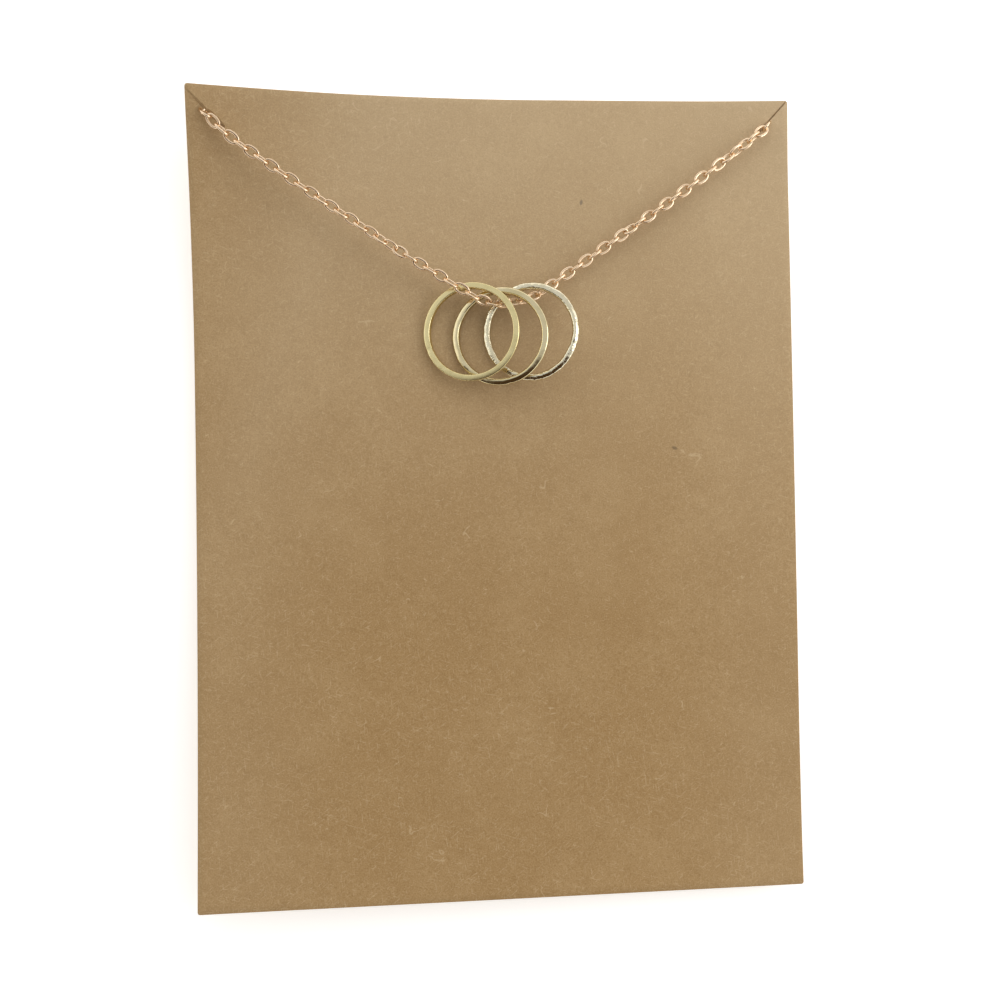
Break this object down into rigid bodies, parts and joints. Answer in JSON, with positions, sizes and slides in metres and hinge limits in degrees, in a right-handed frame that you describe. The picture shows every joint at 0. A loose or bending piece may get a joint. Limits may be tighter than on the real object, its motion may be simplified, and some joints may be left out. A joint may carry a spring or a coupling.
{
  "type": "ring pendant necklace on display card",
  "caption": "Fine cable chain necklace carrying open circle ring pendants, threaded through the slit top corners of a plain kraft display card with a curled corner.",
  "frame": {"origin": "centre of the bounding box in plan, on the surface that the chain behind the card lies on", "axes": "+X across the card to its right edge, +Y up the card towards the edge with the slits, +Z out of the card's front face"},
  "size_m": [0.063, 0.0836, 0.0069],
  "materials": {
    "kraft_card": "uncoated brown kraft board, matt, with short fibres and small dark flecks",
    "chain_plating": "pale rose gold plating, polished",
    "ring_plating": "pale yellow gold plating, polished"
  },
  "bodies": {
    "root": {"card": "kraft_card", "chain": "chain_plating", "clasp": "chain_plating", "ring_left": "ring_plating", "ring_middle": "ring_plating", "ring_right": "ring_plating"}
  },
  "joints": []
}
